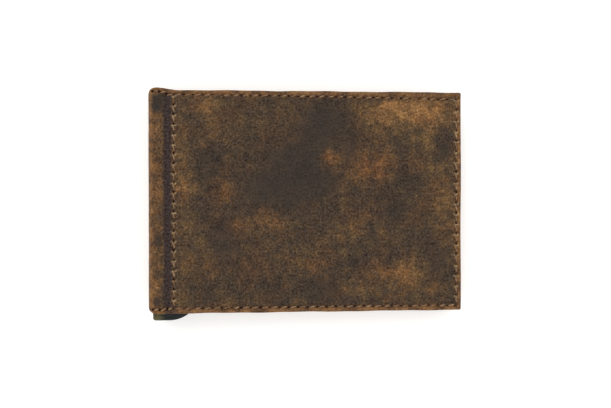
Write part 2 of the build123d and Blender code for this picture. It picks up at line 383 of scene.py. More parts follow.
# soft patches of the finish: across, height, half width and half height in mm, strength;
# dark where the leather kept its oil, light where it is rubbed dry
frontTones = [
    (48, 8.5, 15, 9.5, -1.2),
    (56.5, 21, 9, 10, -0.9),
    (63.5, 29, 10, 6, -1.0),
    (42, 2, 10, 6, -0.75),
    (58, 8, 7, 5, -0.6),
    (51, 15, 7, 6, -0.45),
    (31, 22, 7, 6, -0.3),
    (21, 13, 5, 7, -0.7),
    (25.5, -15, 4.5, 9, -1.0),
    (20, -32, 4, 3, -0.6),
    (103.6, 19.5, 3, 4.5, -1.5),
    (92, 7.5, 5, 6, -0.75),
    (84.5, -3.5, 4.5, 5, -0.8),
    (60, -31, 7, 4.5, -0.9),
    (44, -30, 6, 4, -0.35),
    (101, -24, 4.5, 5, -0.8),
    (70, 18, 3.5, 4.5, -0.9),
    (94, -4, 5, 4, -0.35),
    (82.5, -23, 3, 3, -0.45),
    (36, -24, 4, 3, -0.35),
    (29, 31, 3.5, 3, -0.3),
    (91, 31, 18, 5.5, 0.95),
    (105, 29, 6, 7, 0.5),
    (102, 33, 8, 5, 0.7),
    (99, 12, 8, 14, 0.6),
    (78, 34.5, 8, 3, 0.7),
    (98, 23, 6, 4, 0.75),
    (62, 14, 4, 4, 1.15),
    (86, 30, 5, 4, 0.35),
    (19.7, 30, 5, 7, 0.85),
    (27.5, 22.5, 4.5, 4, 0.6),
    (22, 35.5, 6, 3, 0.5),
    (46, 36, 8, 2.6, 0.5),
    (36.5, 13, 5, 4, 0.45),
    (105.5, 2, 3, 3, 0.75),
    (12.3, 0, 3.4, 22, 0.65),
    (10.5, -34, 3, 3, 0.9),
    (43, 28, 6, 5, 0.35),
    (91, -27, 9, 6, 0.95),
    (76, -30, 8, 4, 0.6),
    (103.5, -31, 5, 3, 0.75),
    (89, -25.5, 2.5, 2.5, 0.7),
    (20.5, -24, 5, 7, 0.45),
    (68, -15, 5, 3, 0.55),
    (54.5, -19, 6, 4.5, 0.6),
    (69.5, -11.5, 4.5, 3.5, 0.45),
    (43, -5, 6, 4, 0.5),
    (84, 16.5, 3.5, 3, 0.5),
]
frontRust = [
    (63, 14.8, 3.4, 3.4, 0.9),
    (77, 12, 6.4, 5.6, 0.95),
    (24.8, 3.5, 4.6, 3.4, 0.45),
    (30, -8.3, 3.8, 3.6, 0.65),
    (41, -5, 5, 3.5, 0.55),
    (39, -22.5, 6, 4, 0.25),
    (55.6, -22, 4, 2.6, 0.3),
    (84, -25, 10, 4, 0.4),
    (18, 33, 4, 2.5, 0.6),
    (90, 32, 16, 4, 0.5),
    (12, 5, 2.6, 6, 0.35),
    (104, -3, 5, 5, 0.2),
]
spineSpots = [
    (3.0, 34.4, 1.9, 3.0, -4.2),
    (3.2, -13.6, 1.2, 2.4, -1.7),
    (2.9, -34.4, 1.4, 1.3, -2.2),
    (3.6, 14, 1.0, 3.5, -0.5),
    (3.4, -24, 1.2, 3, -0.45),
]
backTones = [
    (30, 14, 12, 9, -0.9),
    (72, -10, 16, 9, -0.9),
    (95, 24, 9, 7, -0.7),
    (18, -22, 6, 8, -0.5),
    (55, 26, 14, 6, 0.7),
    (98, -26, 9, 5, 0.8),
    (44, -20, 9, 5, 0.5),
    (13, 2, 4, 14, 0.6),
]
backRust = [
    (50, 3, 7, 5, 0.8),
    (84, 9, 6, 5, 0.9),
    (28, -10, 5, 4, 0.7),
    (66, -28, 8, 4, 0.6),
]


def patchSum(patches, run, height):
    across = (run - cornerRun) / mm
    total = 0 * run
    for middle, up, halfWide, halfHigh, strength in patches:
        away = ((across - middle) / halfWide) ** 2 + ((height / mm - up) / halfHigh) ** 2
        total = total + strength * np.exp(-(away**1.3) * 0.8)
    return total


aging = {
    "rim": 0.95,  # rubbed light along the cut edges
    "rimFades": (0.9 * mm, 2.3 * mm),
    "fold": 0.9,  # and along the fold
    "foldAcross": -1.6 * mm,
    "foldFades": (2.2 * mm, 3.6 * mm),
    "spine": 0.2,
    "spineFades": (-1 * mm, 1 * mm),
    "spineTone": 0.1,
    "stripTone": 0.35,  # the strip between the fold and the gutter is lighter
    "stripStarts": (-3.6 * mm, -1.6 * mm),
    "stripEnds": (4.2 * mm, 5.6 * mm),
    "stripRust": 0.5,
    "stripMiddle": 2.4 * mm,
    # a darker colour along the gutter's groove
    "gutterMiddle": 6.62 * mm,
    "gutterFades": (1.05 * mm, 1.6 * mm),
    # dirt and painted shade along the sunk seam lines and in the needle holes
    "seamWidth": 0.55 * mm,
    "seamDirt": 0.32,
    "holeDirt": 0.6,
}


def paintJacket(made, run, height, side):
    mesh = made.data
    across = run - cornerRun
    tones, rust = (frontTones, frontRust) if side == "front" else (backTones, backRust)
    line, holes, rimHighlights = seamNearness(across, height, aging["seamWidth"])
    edge = np.minimum(halfHeight - np.abs(height), endRun - run)
    rub = aging["rim"] * (1 - ease(edge, *aging["rimFades"]))
    fromFold = np.abs(across - aging["foldAcross"])
    rub = np.maximum(rub, aging["fold"] * (1 - ease(fromFold, *aging["foldFades"])))
    rub = np.maximum(rub, aging["spine"] * (1 - ease(across, *aging["spineFades"])))
    strip = aging["spineTone"] + aging["stripTone"] * ease(across, *aging["stripStarts"])
    tone = patchSum(tones, run, height) + strip * (1 - ease(across, *aging["stripEnds"]))
    if side == "front":
        tone = tone + patchSum(spineSpots, run, height)
    stripRust = aging["stripRust"] * bump(across, aging["stripMiddle"], aging["stripMiddle"])
    gutter = 1 - ease(np.abs(across - aging["gutterMiddle"]), *aging["gutterFades"])
    painted = {
        # painted highlight below the holes of the two columns
        "lifted": rimHighlights,
        "tone": tone,
        "rust": np.clip(patchSum(rust, run, height) + stripRust, 0, 1.2),
        "rub": rub,
        # a darker colour along the gutter, which is also less rough
        "press": gutter * (0.5 + 0.5 * ease(edge, 0.6 * mm, 1.6 * mm)),
        # dirt and painted shade in the sunk seams and needle holes
        "seamDirt": np.clip(aging["seamDirt"] * line + aging["holeDirt"] * holes, 0, 1),
    }
    for name, values in painted.items():
        addAttribute(mesh, name, "FLOAT", values)


def tint(text):
    # a screen colour as the shader's linear one
    parts = [int(text[i : i + 2], 16) / 255 for i in (0, 2, 4)]
    return tuple(((p + 0.055) / 1.055) ** 2.4 if p > 0.04 else p / 12.92 for p in parts) + (1.0,)


def feed(tree, socket, value):
    if isinstance(value, bpy.types.NodeSocket):
        tree.links.new(value, socket)
    else:
        socket.default_value = value


def addNode(tree, kind, inputs=None, **settings):
    made = tree.nodes.new(kind)
    for key, value in settings.items():
        setattr(made, key, value)
    for key, value in (inputs or {}).items():
        feed(tree, made.inputs[key], value)
    return made


def calc(tree, operation, first, second=0.0, third=0.0):
    made = addNode(tree, "ShaderNodeMath", {0: first, 1: second, 2: third}, operation=operation)
    return made.outputs[0]


def spread(tree, value, low, high, outLow=0.0, outHigh=1.0):
    keys = {"Value": value, "From Min": low, "From Max": high, "To Min": outLow, "To Max": outHigh}
    return addNode(tree, "ShaderNodeMapRange", keys, interpolation_type="SMOOTHSTEP").outputs[0]


def blendColour(tree, share, first, second, mode="MIX"):
    made = addNode(tree, "ShaderNodeMix", data_type="RGBA", blend_type=mode, clamp_factor=True)
    feed(tree, made.inputs[0], share)
    feed(tree, made.inputs[6], first)
    feed(tree, made.inputs[7], second)
    return made.outputs[2]


def colourRamp(tree, value, stops):
    stops = list(stops)
    made = addNode(tree, "ShaderNodeValToRGB", {"Fac": value})
    elements = made.color_ramp.elements
    while len(elements) < len(stops):
        elements.new(0.5)
    for element, (position, colour) in zip(elements, stops):
        element.position = position
        element.color = tint(colour)
    return made.outputs["Color"]


def grain(tree, place, scale, detail=3.0, roughness=0.55, distortion=0.0):
    keys = {"Vector": place, "Scale": scale, "Detail": detail, "Roughness": roughness}
    keys["Distortion"] = distortion
    return addNode(tree, "ShaderNodeTexNoise", keys, noise_dimensions="3D").outputs[0]


def centred(tree, pattern, share, value):
    # adds a pattern that lightens as much as it darkens
    return calc(tree, "MULTIPLY_ADD", pattern, share, calc(tree, "SUBTRACT", value, share / 2))


def mixed(tree, first, firstShare, second, secondShare):
    # two patterns added in shares
    return calc(tree, "MULTIPLY_ADD", first, firstShare, calc(tree, "MULTIPLY", second, secondShare))


def cells(tree, place, scale, edge):
    # flat cells between fine creases, as on the face of leather
    keys = {"Vector": place, "Scale": scale}
    made = addNode(tree, "ShaderNodeTexVoronoi", keys, feature="DISTANCE_TO_EDGE")
    return spread(tree, made.outputs["Distance"], 0.0, edge)


def attribute(tree, name, output="Fac"):
    return addNode(tree, "ShaderNodeAttribute", attribute_name=name).outputs[output]


def startMaterial(name):
    material = bpy.data.materials.new(name)
    material.use_nodes = True
    tree = material.node_tree
    return material, tree, tree.nodes["Principled BSDF"]


def inMillimetres(tree, vector):
    made = addNode(tree, "ShaderNodeVectorMath", {0: vector, 3: 1000.0}, operation="SCALE")
    return made.outputs[0]


def onLeather(tree):
    return inMillimetres(tree, attribute(tree, "lay", "Vector"))


def onObject(tree):
    return inMillimetres(tree, addNode(tree, "ShaderNodeTexCoord").outputs["Object"])


def broken(tree, mask, pattern, high, least, most=1.0):
    # a mask that a pattern makes uneven
    return calc(tree, "MULTIPLY", mask, spread(tree, pattern, 0.3, high, least, most))


def bumpNormal(tree, height, distance, strength, under=None):
    keys = {"Height": height, "Distance": distance, "Strength": strength}
    made = addNode(tree, "ShaderNodeBump", keys)
    if under is not None:
        feed(tree, made.inputs["Normal"], under)
    return made.outputs["Normal"]


def dress(tree, shader, colour, rough, gloss, normal=None):
    feed(tree, shader.inputs["Base Color"], colour)
    feed(tree, shader.inputs["Roughness"], rough)
    shader.inputs["Specular IOR Level"].default_value = gloss
    if normal is not None:
        feed(tree, shader.inputs["Normal"], normal)


# the distressed outer leather
hide = {
    "stops": (0.0, 0.25, 0.42, 0.55, 0.68, 0.82, 1.0),
    "cool": ("1e1814", "30271f", "413428", "52402c", "6d5335", "8f6f45", "bd9b6c"),
    "warm": ("261a14", "3a291f", "4f3725", "65452a", "805936", "a27447", "c89b68"),
    "wornEdge": [(0.0, "3f2b1c"), (0.4, "69482d"), (0.7, "88643f"), (1.0, "b28954")],
    # darker colours along the gutter's groove
    "gutter": [(0.0, "281f1e"), (0.6, "372b29"), (1.0, "473933")],
    "oiled": "40372f",  # the calm dark patches
    # colour of the dirt and painted shade in the seams
    "seam": "3a2417",
    "lifted": "b39873",  # painted highlight on the leather raised round each needle hole
    "middle": 0.43,
    "patchShare": 0.14,
    "blotchShare": 0.5,
    "mottleShare": 0.75,
    "speckleShare": 0.56,
    "dustShare": 0.075,  # grey dust and fibres, the same in every colour
    "gutterCover": 0.93,
    "rough": (0.62, 0.86),
    "gutterPolish": 0.14,
    "gloss": 0.14,
    "creaseScale": 1.5,
    "creaseBump": (0.07 * mm, 0.75),  # height and strength
    "speckleBump": (0.12 * mm, 0.55),
    "fineBump": (0.05 * mm, 0.6),
}


def hideMaterial(name):
    material, tree, shader = startMaterial(name)
    place = onLeather(tree)
    drift = grain(tree, place, 0.11, 2.0)
    blotch = grain(tree, place, 0.085, 3.5, 0.6, 0.6)
    mottle = grain(tree, place, 0.3, 4.0, 0.7, 0.3)
    speckle = grain(tree, place, 1.3, 3.0, 0.8)
    fine = grain(tree, place, 4.2, 2.0, 0.7)
    tone = attribute(tree, "tone")
    rust = attribute(tree, "rust")
    press = attribute(tree, "press")
    # how light the hide is, from 0 to 1; the dark patches are calmer
    value = centred(tree, blotch, hide["blotchShare"], hide["middle"])
    value = centred(tree, mottle, hide["mottleShare"], value)
    calm = spread(tree, tone, -1.3, 0.3, 0.45, 1.0)
    speckled = calc(tree, "MULTIPLY", centred(tree, speckle, hide["speckleShare"], 0.0), calm)
    value = calc(tree, "MULTIPLY_ADD", tone, hide["patchShare"], value)
    value = calc(tree, "MULTIPLY_ADD", rust, 0.07, value)
    value = calc(tree, "ADD", value, speckled)
    warmth = spread(tree, drift, 0.42, 0.66)
    warmth = calc(tree, "MULTIPLY_ADD", warmth, 0.4, broken(tree, rust, mottle, 0.6, 0.3))
    cool, warm = (colourRamp(tree, value, zip(hide["stops"], hide[key])) for key in ("cool", "warm"))
    colour = blendColour(tree, warmth, cool, warm)
    # worn edges, the gutter, dirt and painted shade in the seams, a painted highlight round the needle
    # holes, and the cut faces
    worn = colourRamp(tree, calc(tree, "MULTIPLY_ADD", speckled, 1.2, mottle), hide["wornEdge"])
    rub = broken(tree, attribute(tree, "rub"), mottle, 0.62, 0.25)
    colour = blendColour(tree, rub, colour, worn)
    # a darker colour along the gutter's groove
    gutter = colourRamp(tree, mixed(tree, mottle, 0.5, fine, 0.35), hide["gutter"])
    inGutter = calc(tree, "MULTIPLY", press, hide["gutterCover"])
    colour = blendColour(tree, inGutter, colour, gutter)
    # dirt and painted shade in the sunk seams and needle holes
    colour = blendColour(tree, attribute(tree, "seamDirt"), colour, tint(hide["seam"]))
    # a painted highlight on the leather pulled up below the holes
    lifted = broken(tree, attribute(tree, "lifted"), speckle, 0.6, 0.2, 0.85)
    colour = blendColour(tree, lifted, colour, tint(hide["lifted"]))
    depth = addNode(tree, "ShaderNodeSeparateXYZ", {0: place}).outputs[2]
    colour = blendColour(tree, spread(tree, depth, 0.12, 0.4), colour, worn)
    oiled = spread(tree, tone, -1.3, -0.3, 0.35, 0.0)
    colour = blendColour(tree, oiled, colour, tint(hide["oiled"]))
    dust = calc(tree, "MULTIPLY", calm, hide["dustShare"])
    colour = blendColour(tree, dust, colour, speckle, "LINEAR_LIGHT")
    rough = spread(tree, value, 0.2, 0.8, *hide["rough"])
    rough = calc(tree, "SUBTRACT", rough, calc(tree, "MULTIPLY", press, hide["gutterPolish"]))
    # the creases wander, so that the cells between them aren't regular
    wander = grain(tree, place, 0.9, 2.0, 0.6)
    keys = {0: wander, 1: (0.5, 0.5, 0.5), 2: place}
    wandered = addNode(tree, "ShaderNodeVectorMath", keys, operation="MULTIPLY_ADD").outputs[0]
    creases = cells(tree, wandered, hide["creaseScale"], 0.16)
    low = bumpNormal(tree, creases, *hide["creaseBump"])
    middle = bumpNormal(tree, speckle, *hide["speckleBump"], low)
    dress(tree, shader, colour, rough, hide["gloss"], bumpNormal(tree, fine, *hide["fineBump"], middle))
    return material


# the smoother leather inside
insideLooks = {
    "liningLeather": {
        "stops": [(0.0, "241b18"), (0.45, "3a2c25"), (0.7, "4d3a2e"), (1.0, "6b5039")],
        "darkEdge": "3a271a",
        "edge": "5f4128",
        "rough": (0.5, 0.72),
        "pebble": 1.9,
    },
    "slotLeather": {
        "stops": [(0.0, "2c201b"), (0.42, "4a372b"), (0.66, "64492f"), (0.85, "7d5c39"), (1.0, "966f45")],
        "darkEdge": "3a271a",
        "edge": "8a5f38",
        "rough": (0.55, 0.8),
        "pebble": 1.5,
    },
}


def insideMaterial(name):
    looks = insideLooks[name]
    material, tree, shader = startMaterial(name)
    place = onLeather(tree)
    blotch = grain(tree, place, 0.07, 3.0, 0.6, 0.5)
    mottle = grain(tree, place, 0.45, 4.0, 0.65)
    speckle = grain(tree, place, 1.9, 3.0, 0.75)
    value = calc(tree, "MULTIPLY_ADD", mottle, 0.35, -0.02)
    value = calc(tree, "MULTIPLY_ADD", blotch, 0.6, value)
    value = centred(tree, speckle, 0.4, value)
    colour = colourRamp(tree, value, looks["stops"])
    depth = addNode(tree, "ShaderNodeSeparateXYZ", {0: place}).outputs[2]
    edgeTone = blendColour(tree, mottle, tint(looks["darkEdge"]), tint(looks["edge"]))
    atEdge = calc(tree, "MULTIPLY", attribute(tree, "cutEdge"), 0.85)
    colour = blendColour(tree, atEdge, colour, edgeTone)
    rough = calc(tree, "MULTIPLY_ADD", depth, 0.02, value)
    rough = spread(tree, rough, 0.2, 0.8, *looks["rough"])
    low = bumpNormal(tree, cells(tree, place, looks["pebble"], 0.25), 0.06 * mm, 0.5)
    dress(tree, shader, colour, rough, 0.2, bumpNormal(tree, speckle, 0.08 * mm, 0.5, low))
    return material


thread = {
    "stops": [(0.25, "40291a"), (0.45, "705139"), (0.6, "9a7a5a"), (0.85, "c2a481")],
    "strandsPerMetre": 2600.0,
    "strandsAround": 2.0,
    "rough": (0.5, 0.75),
}
# colours of the painted shade in the needle holes
holeShadeStops = [(0.3, "120a06"), (0.7, "2a170d")]


def threadMaterial():
    material, tree, shader = startMaterial("waxedThread")
    run = attribute(tree, "threadRun")
    around = attribute(tree, "threadTurn")
    twist = mixed(tree, run, thread["strandsPerMetre"], around, thread["strandsAround"])
    strands = calc(tree, "SINE", calc(tree, "MULTIPLY", twist, 2 * math.pi))
    place = onObject(tree)
    soil = grain(tree, place, 0.5, 3.0, 0.6)
    fuzz = grain(tree, place, 7.0, 2.0, 0.6)
    tone = calc(tree, "MULTIPLY_ADD", strands, 0.12, mixed(tree, fuzz, 0.3, soil, 0.7))
    rough = spread(tree, fuzz, 0.3, 0.7, *thread["rough"])
    normal = bumpNormal(tree, strands, 0.04 * mm, 0.6)
    dress(tree, shader, colourRamp(tree, tone, thread["stops"]), rough, 0.2, normal)
    return material


# the dark plug in each needle hole is painted shade
def holeShadeMaterial():
    material, tree, shader = startMaterial("needleHole")
    holeShadeNoise = grain(tree, onObject(tree), 2.5, 2.0, 0.6)
    dress(tree, shader, colourRamp(tree, holeShadeNoise, holeShadeStops), spread(tree, holeShadeNoise, 0.3, 0.7, 0.85, 1.0), 0.05)
    return material


# the clip's plating is rubbed through where its ends show past the leather
clipShows = {"nearSpine": (-51.4, -48.8), "atEnd": (-38.0, -36.0)}  # mm, worn to whole

# metals: colours, where the finish is worn through, and polish
metalLooks = {
    "clipGunmetal": {
        "stops": [(0.0, "1d1f1f"), (0.5, "2c2e2e"), (0.8, "3d3e3a"), (1.0, "575546")],
        "worn": [(0.0, "36352b"), (0.45, "55523f"), (0.7, "77714f"), (1.0, "a39c7c")],
        "wornAt": 0.0,
        "rough": (0.2, 0.42),
    },
    "springBlued": {
        "stops": [(0.0, "1b2027"), (0.5, "2d3540"), (0.8, "46505c"), (1.0, "6a7078")],
        "worn": [(0.0, "6b6a66"), (1.0, "98958d")],
        "wornAt": 0.68,
        "rough": (0.18, 0.4),
    },
    "rivetBrass": {
        "stops": [(0.0, "4a3820"), (0.5, "7a6136"), (0.8, "9c8049"), (1.0, "b89c62")],
        "worn": [(0.0, "a8905c"), (1.0, "cdb680")],
        "wornAt": 0.66,
        "rough": (0.22, 0.48),
    },
}


def metalMaterial(name):
    looks = metalLooks[name]
    material, tree, shader = startMaterial(name)
    place = onObject(tree)
    cloud = grain(tree, place, 0.22, 4.0, 0.65, 0.4)
    stain = grain(tree, place, 0.9, 4.0, 0.7)
    keys = {0: place, 1: (6.0, 0.35, 6.0)}
    brushed = addNode(tree, "ShaderNodeVectorMath", keys, operation="MULTIPLY").outputs[0]
    scratch = grain(tree, brushed, 1.0, 3.0, 0.7)
    tone = mixed(tree, stain, 0.5, cloud, 0.5)
    colour = colourRamp(tree, tone, looks["stops"])
    worn = colourRamp(tree, mixed(tree, scratch, 0.4, stain, 0.6), looks["worn"])
    wornAt = looks["wornAt"]
    if wornAt > 0:
        wear = spread(tree, mixed(tree, scratch, 0.4, cloud, 0.6), wornAt - 0.12, wornAt + 0.06)
    else:
        parts = addNode(tree, "ShaderNodeSeparateXYZ", {0: place})
        nearSpine = spread(tree, parts.outputs[0], *clipShows["nearSpine"], 1.0, 0.0)
        atEnd = spread(tree, parts.outputs[1], *clipShows["atEnd"], 1.0, 0.0)
        wear = broken(tree, calc(tree, "MULTIPLY", nearSpine, atEnd), stain, 0.55, 0.25)
        scratched = calc(tree, "MULTIPLY", spread(tree, scratch, 0.64, 0.74), 0.35)
        wear = calc(tree, "MAXIMUM", wear, scratched)
    colour = blendColour(tree, wear, colour, worn)
    rough = calc(tree, "MULTIPLY_ADD", wear, 0.18, spread(tree, tone, 0.3, 0.7, *looks["rough"]))
    low = bumpNormal(tree, scratch, 0.03 * mm, 0.25)
    dress(tree, shader, colour, rough, 0.5, bumpNormal(tree, stain, 0.04 * mm, 0.3, low))
    shader.inputs["Metallic"].default_value = 1.0
    return material


coverLeather = hideMaterial("coverLeather")
liningLeather = insideMaterial("liningLeather")
slotLeather = insideMaterial("slotLeather")
waxedThread = threadMaterial()
needleHole = holeShadeMaterial()
clipGunmetal = metalMaterial("clipGunmetal")
springBlued = metalMaterial("springBlued")
rivetBrass = metalMaterial("rivetBrass")
print("materials made")


def foldPoint(run, side):
    place, _ = foldedPlace(np.array([run]), np.array([0.0]), np.array([0.0]), side)
    return tuple(place[0])


foldStart = {side: foldPoint(flatSpine, side) for side in ("back", "front")}  # on the spine
foldEnd = {side: foldPoint(flatSpine + arcRun, side) for side in ("back", "front")}  # on the cover


def bendAtFold(piece, side):
    if side == "back":
        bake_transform(piece)
    else:
        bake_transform(piece)


def coverGrid(step):
    return gridLines(0.0, endRun, step, fineStart=False), gridLines(-halfHeight, halfHeight, step)


def buildJacket(side, replaced):
    runs, heights = coverGrid(jacket["step"])
    made, run, height = leatherSheet(
        side + "Jacket", side, runs, heights, 0.0, wallet["leather"], 0.0, jacket["edgeRound"],
        buttJoint=True, relief=True,
    )
    paintJacket(made, run, height, side)
    made.data.materials.append(coverLeather)
    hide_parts(*replaced)
    bendAtFold(made, side)


buildJacket("back", ["back_cover_leather", "spine_leather"])
buildJacket("front", ["front_cover_leather"])
print("jackets made")

lining = {"step": 1.3 * mm, "inset": 0.12 * mm, "edgeRound": 0.1 * mm}


def markCutEdge(made, run, height, runs, heights, width):
    fromEdge = edgeDistance(run, height, runs, heights, runs[0] > 0)
    addAttribute(made.data, "cutEdge", "FLOAT", 1 - ease(fromEdge, 0.05 * mm, width))


def buildLining(side, replaced):
    runs, heights = coverGrid(lining["step"])
    top = wallet["leather"]
    made, run, height = leatherSheet(
        side + "Lining", side, runs, heights, top, top + wallet["lining"], lining["inset"],
        lining["edgeRound"], buttJoint=True,
    )
    markCutEdge(made, run, height, runs, heights, 0.5 * mm)
    made.data.materials.append(liningLeather)
    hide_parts(*replaced)
    bendAtFold(made, side)


buildLining("back", ["back_lining", "spine_lining"])
buildLining("front", ["front_lining"])
print("linings made")


slots = {
    "step": 1.1 * mm,
    "creaseBelowLip": 1.9 * mm,
    "creaseDepth": 0.13 * mm,
    "cardSwell": 0.12 * mm,  # the leather keeps the shape of the cards
    "wave": 0.06 * mm,
    "waveSize": 9 * mm,
    "edgeRound": 0.08 * mm,
    "edgeDrop": 0.14 * mm,  # the inner edge is rounded more
}


def slotSheet(side, name, lip, top, thickness, inset, seed):
    runs = gridLines(cornerRun + wallet["stackEdge"], endRun, slots["step"])
    heights = gridLines(-halfHeight, lip, slots["step"])
    if lip < halfHeight:
        crease = lip - slots["creaseBelowLip"]
        near = [crease + 0.22 * mm * k for k in (-2, -1, 0, 1, 2)]
        heights = np.array(sorted(list(heights) + near))
    bottom = top + thickness
    made, run, height = leatherSheet(
        side + name, side, runs, heights, top, bottom, inset, slots["edgeRound"]
    )
    # the visible face is the inner one here, so the relief goes on that
    mesh = made.data
    count = len(mesh.vertices)
    lay = np.zeros(count * 3, np.float32)
    mesh.attributes["lay"].data.foreach_get("vector", lay)
    depth = lay.reshape(-1, 3)[:, 2]
    place = np.zeros(count * 3)
    mesh.vertices.foreach_get("co", place)
    place = place.reshape(-1, 3)
    _, outwards = foldedPlace(run, height, 0 * run, side)
    across = run - cornerRun
    lift = slots["wave"] * softNoise(run, height, slots["waveSize"], seed)
    inPanel = ease(across, 10 * mm, 16 * mm) * (1 - ease(across, 98 * mm, 106 * mm))
    inPanel = inPanel * ease(height, -35 * mm, -28 * mm)
    lift = lift + slots["cardSwell"] * inPanel
    if lip < halfHeight:
        lift = lift - slots["creaseDepth"] * bump(height, lip - slots["creaseBelowLip"], 0.3 * mm)
    else:
        lift = lift * 0.4
    edge = edgeDistance(run, height, runs, heights)
    lift = lift * ease(edge, 0.1 * mm, 1.5 * mm)
    lift = lift - slots["edgeDrop"] * (1 - ease(edge, -0.05 * mm, 0.28 * mm))
    share = ease(depth, 0.5 * thickness, 0.95 * thickness)
    place = place - outwards * (lift * share)[:, None]
    mesh.vertices.foreach_set("co", place.ravel())
    mesh.update()
    markCutEdge(made, run, height, runs, heights, 0.55 * mm)
    made.data.materials.append(slotLeather)
    return made


for sideNumber, side in enumerate(("back", "front")):
    depth = wallet["leather"] + wallet["lining"]
    panel = slotSheet(side, "SlotPanel", halfHeight, depth, wallet["panel"], 0.08 * mm, 3 + sideNumber)
    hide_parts(side + "_slot_panel")
    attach(panel, side)
    depth += wallet["panel"]
    for number, (which, lip) in enumerate(wallet["slotLips"].items()):
        inset = (0.03 + 0.05 * number) * mm
        seed = 9 + 4 * number + sideNumber
        name = "CardSlot" + which.capitalize()
        pocket = slotSheet(side, name, lip, depth, wallet["slotSheet"], inset, seed)
        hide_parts(side + "_card_slot_" + which)
        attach(pocket, side)
        depth += wallet["slotSheet"]
print("card slots made")


stitch = {
    "radius": 0.27 * mm,
    "slant": 0.36 * mm,
    "rise": 0.55 * mm,
    "foldRise": 0.9 * mm,  # the stitches that go round the fold lie on a curve
    "sink": 0.3 * mm,
    "reach": 0.15,  # share of the pitch that a hole takes at each end
    "holeRadius": 0.55 * mm,
    "holeLift": 0.13 * mm,  # a hole is a dark plug of painted shade that shows this much
    "holeDepth": 0.34 * mm,
    "seed": 5,
}


def stitchTree():
    tree = bpy.data.node_groups.new("seamStitches", "GeometryNodeTree")
    tree.is_modifier = True
    face = tree.interface
    face.new_socket(name="Geometry", in_out="OUTPUT", socket_type="NodeSocketGeometry")
    wanted = {
        "Seam Path": ("Geometry", None),
        "Pitch": ("Float", seams["pitch"]),
        "Thread Radius": ("Float", stitch["radius"]),
        "Slant": ("Float", stitch["slant"]),
        "Rise": ("Float", stitch["rise"]),
        "Sink": ("Float", stitch["sink"]),
        "Hole Radius": ("Float", stitch["holeRadius"]),
        "Seed": ("Int", stitch["seed"]),
        "Thread Material": ("Material", None),
        "Hole Material": ("Material", None),
    }
    for name, (kind, value) in wanted.items():
        socket = face.new_socket(name=name, in_out="INPUT", socket_type="NodeSocket" + kind)
        if value is not None:
            socket.default_value = value
    given = tree.nodes.new("NodeGroupInput").outputs

    def result(kind, keys=None, **settings):
        return addNode(tree, kind, keys, **settings).outputs[0]

    def stored(geometry, name, value, kind="FLOAT", domain="POINT"):
        keys = {"Geometry": geometry, "Name": name, "Value": value}
        return result("GeometryNodeStoreNamedAttribute", keys, data_type=kind, domain=domain)

    def named(name, kind):
        return result("GeometryNodeInputNamedAttribute", {"Name": name}, data_type=kind)

    def bowPoint(alongShare, side, name, lift):
        # share of the pitch, sideways and up
        along = calc(tree, "MULTIPLY", given["Pitch"], alongShare)
        across = calc(tree, "MULTIPLY", given["Slant"], side)
        up = calc(tree, "MULTIPLY", given[name], lift)
        return result("ShaderNodeCombineXYZ", {0: along, 1: across, 2: up})

    # a frame at every stitch: x along the seam, z out of the leather
    curve = result("GeometryNodeMeshToCurve", {0: given["Seam Path"]})
    keys = {"Curve": curve, "Length": calc(tree, "MULTIPLY", given["Pitch"], 0.998)}
    resampled = result("GeometryNodeResampleCurve", keys, mode="LENGTH")
    keys = {"Vector": result("GeometryNodeInputTangent")}
    alongX = result("FunctionNodeAlignRotationToVector", keys, axis="X")
    keys = {"Rotation": alongX, "Vector": named("outward", "FLOAT_VECTOR")}
    facing = result("FunctionNodeAlignRotationToVector", keys, axis="Z", pivot_axis="X")
    lastPoint = result("GeometryNodeCurveEndpointSelection", {"Start Size": 0, "End Size": 1})
    notLast = result("FunctionNodeBooleanMath", {0: lastPoint}, operation="NOT")

    # one stitch and the hole at its start
    keys = {
        "Resolution": 7,
        "Start": bowPoint(stitch["reach"], -1.0, "Sink", -1.0),
        "Middle": bowPoint(0.5, 0.0, "Rise", 1.6),
        "End": bowPoint(1 - stitch["reach"], 1.0, "Sink", -1.0),
    }
    bow = result("GeometryNodeCurveQuadraticBezier", keys)
    bow = stored(bow, "threadRun", addNode(tree, "GeometryNodeSplineParameter").outputs["Length"])
    ring = result("GeometryNodeCurvePrimitiveCircle", {"Resolution": 6, "Radius": given["Thread Radius"]})
    ring = stored(ring, "threadTurn", addNode(tree, "GeometryNodeSplineParameter").outputs["Factor"])
    keys = {"Curve": bow, "Profile Curve": ring, "Fill Caps": True}
    thread = result("GeometryNodeCurveToMesh", keys)
    thread = result("GeometryNodeSetShadeSmooth", {"Geometry": thread})
    # the hole is a dark plug of painted shade
    keys = {"Vertices": 10, "Radius": given["Hole Radius"], "Depth": stitch["holeDepth"]}
    hole = result("GeometryNodeMeshCylinder", keys)
    middle = stitch["holeLift"] - stitch["holeDepth"] / 2
    keys = {"Geometry": hole, "Translation": (0.0, 0.0, middle), "Scale": (1.15, 0.8, 1.0)}
    hole = stored(result("GeometryNodeTransform", keys), "holeFace", True, "BOOLEAN", "FACE")
    joined = tree.nodes.new("GeometryNodeJoinGeometry")
    tree.links.new(thread, joined.inputs[0])
    tree.links.new(hole, joined.inputs[0])

    # no two stitches are quite the same size
    keys = {"Min": (0.94, 0.75, 0.85), "Max": (1.05, 1.25, 1.12), "Seed": given["Seed"]}
    size = result("FunctionNodeRandomValue", keys, data_type="FLOAT_VECTOR")
    keys = {"Points": resampled, "Selection": notLast, "Instance": joined.outputs[0]}
    keys.update({"Rotation": facing, "Scale": size})
    placed = result("GeometryNodeInstanceOnPoints", keys)
    real = result("GeometryNodeRealizeInstances", {"Geometry": placed})
    keys = {"Geometry": real, "Material": given["Thread Material"]}
    real = result("GeometryNodeSetMaterial", keys)
    keys = {"Selection": named("holeFace", "BOOLEAN"), "Geometry": real, "Material": given["Hole Material"]}
    real = result("GeometryNodeSetMaterial", keys)
    tree.links.new(real, tree.nodes.new("NodeGroupOutput").inputs[0])
    return tree


seamTree = stitchTree()


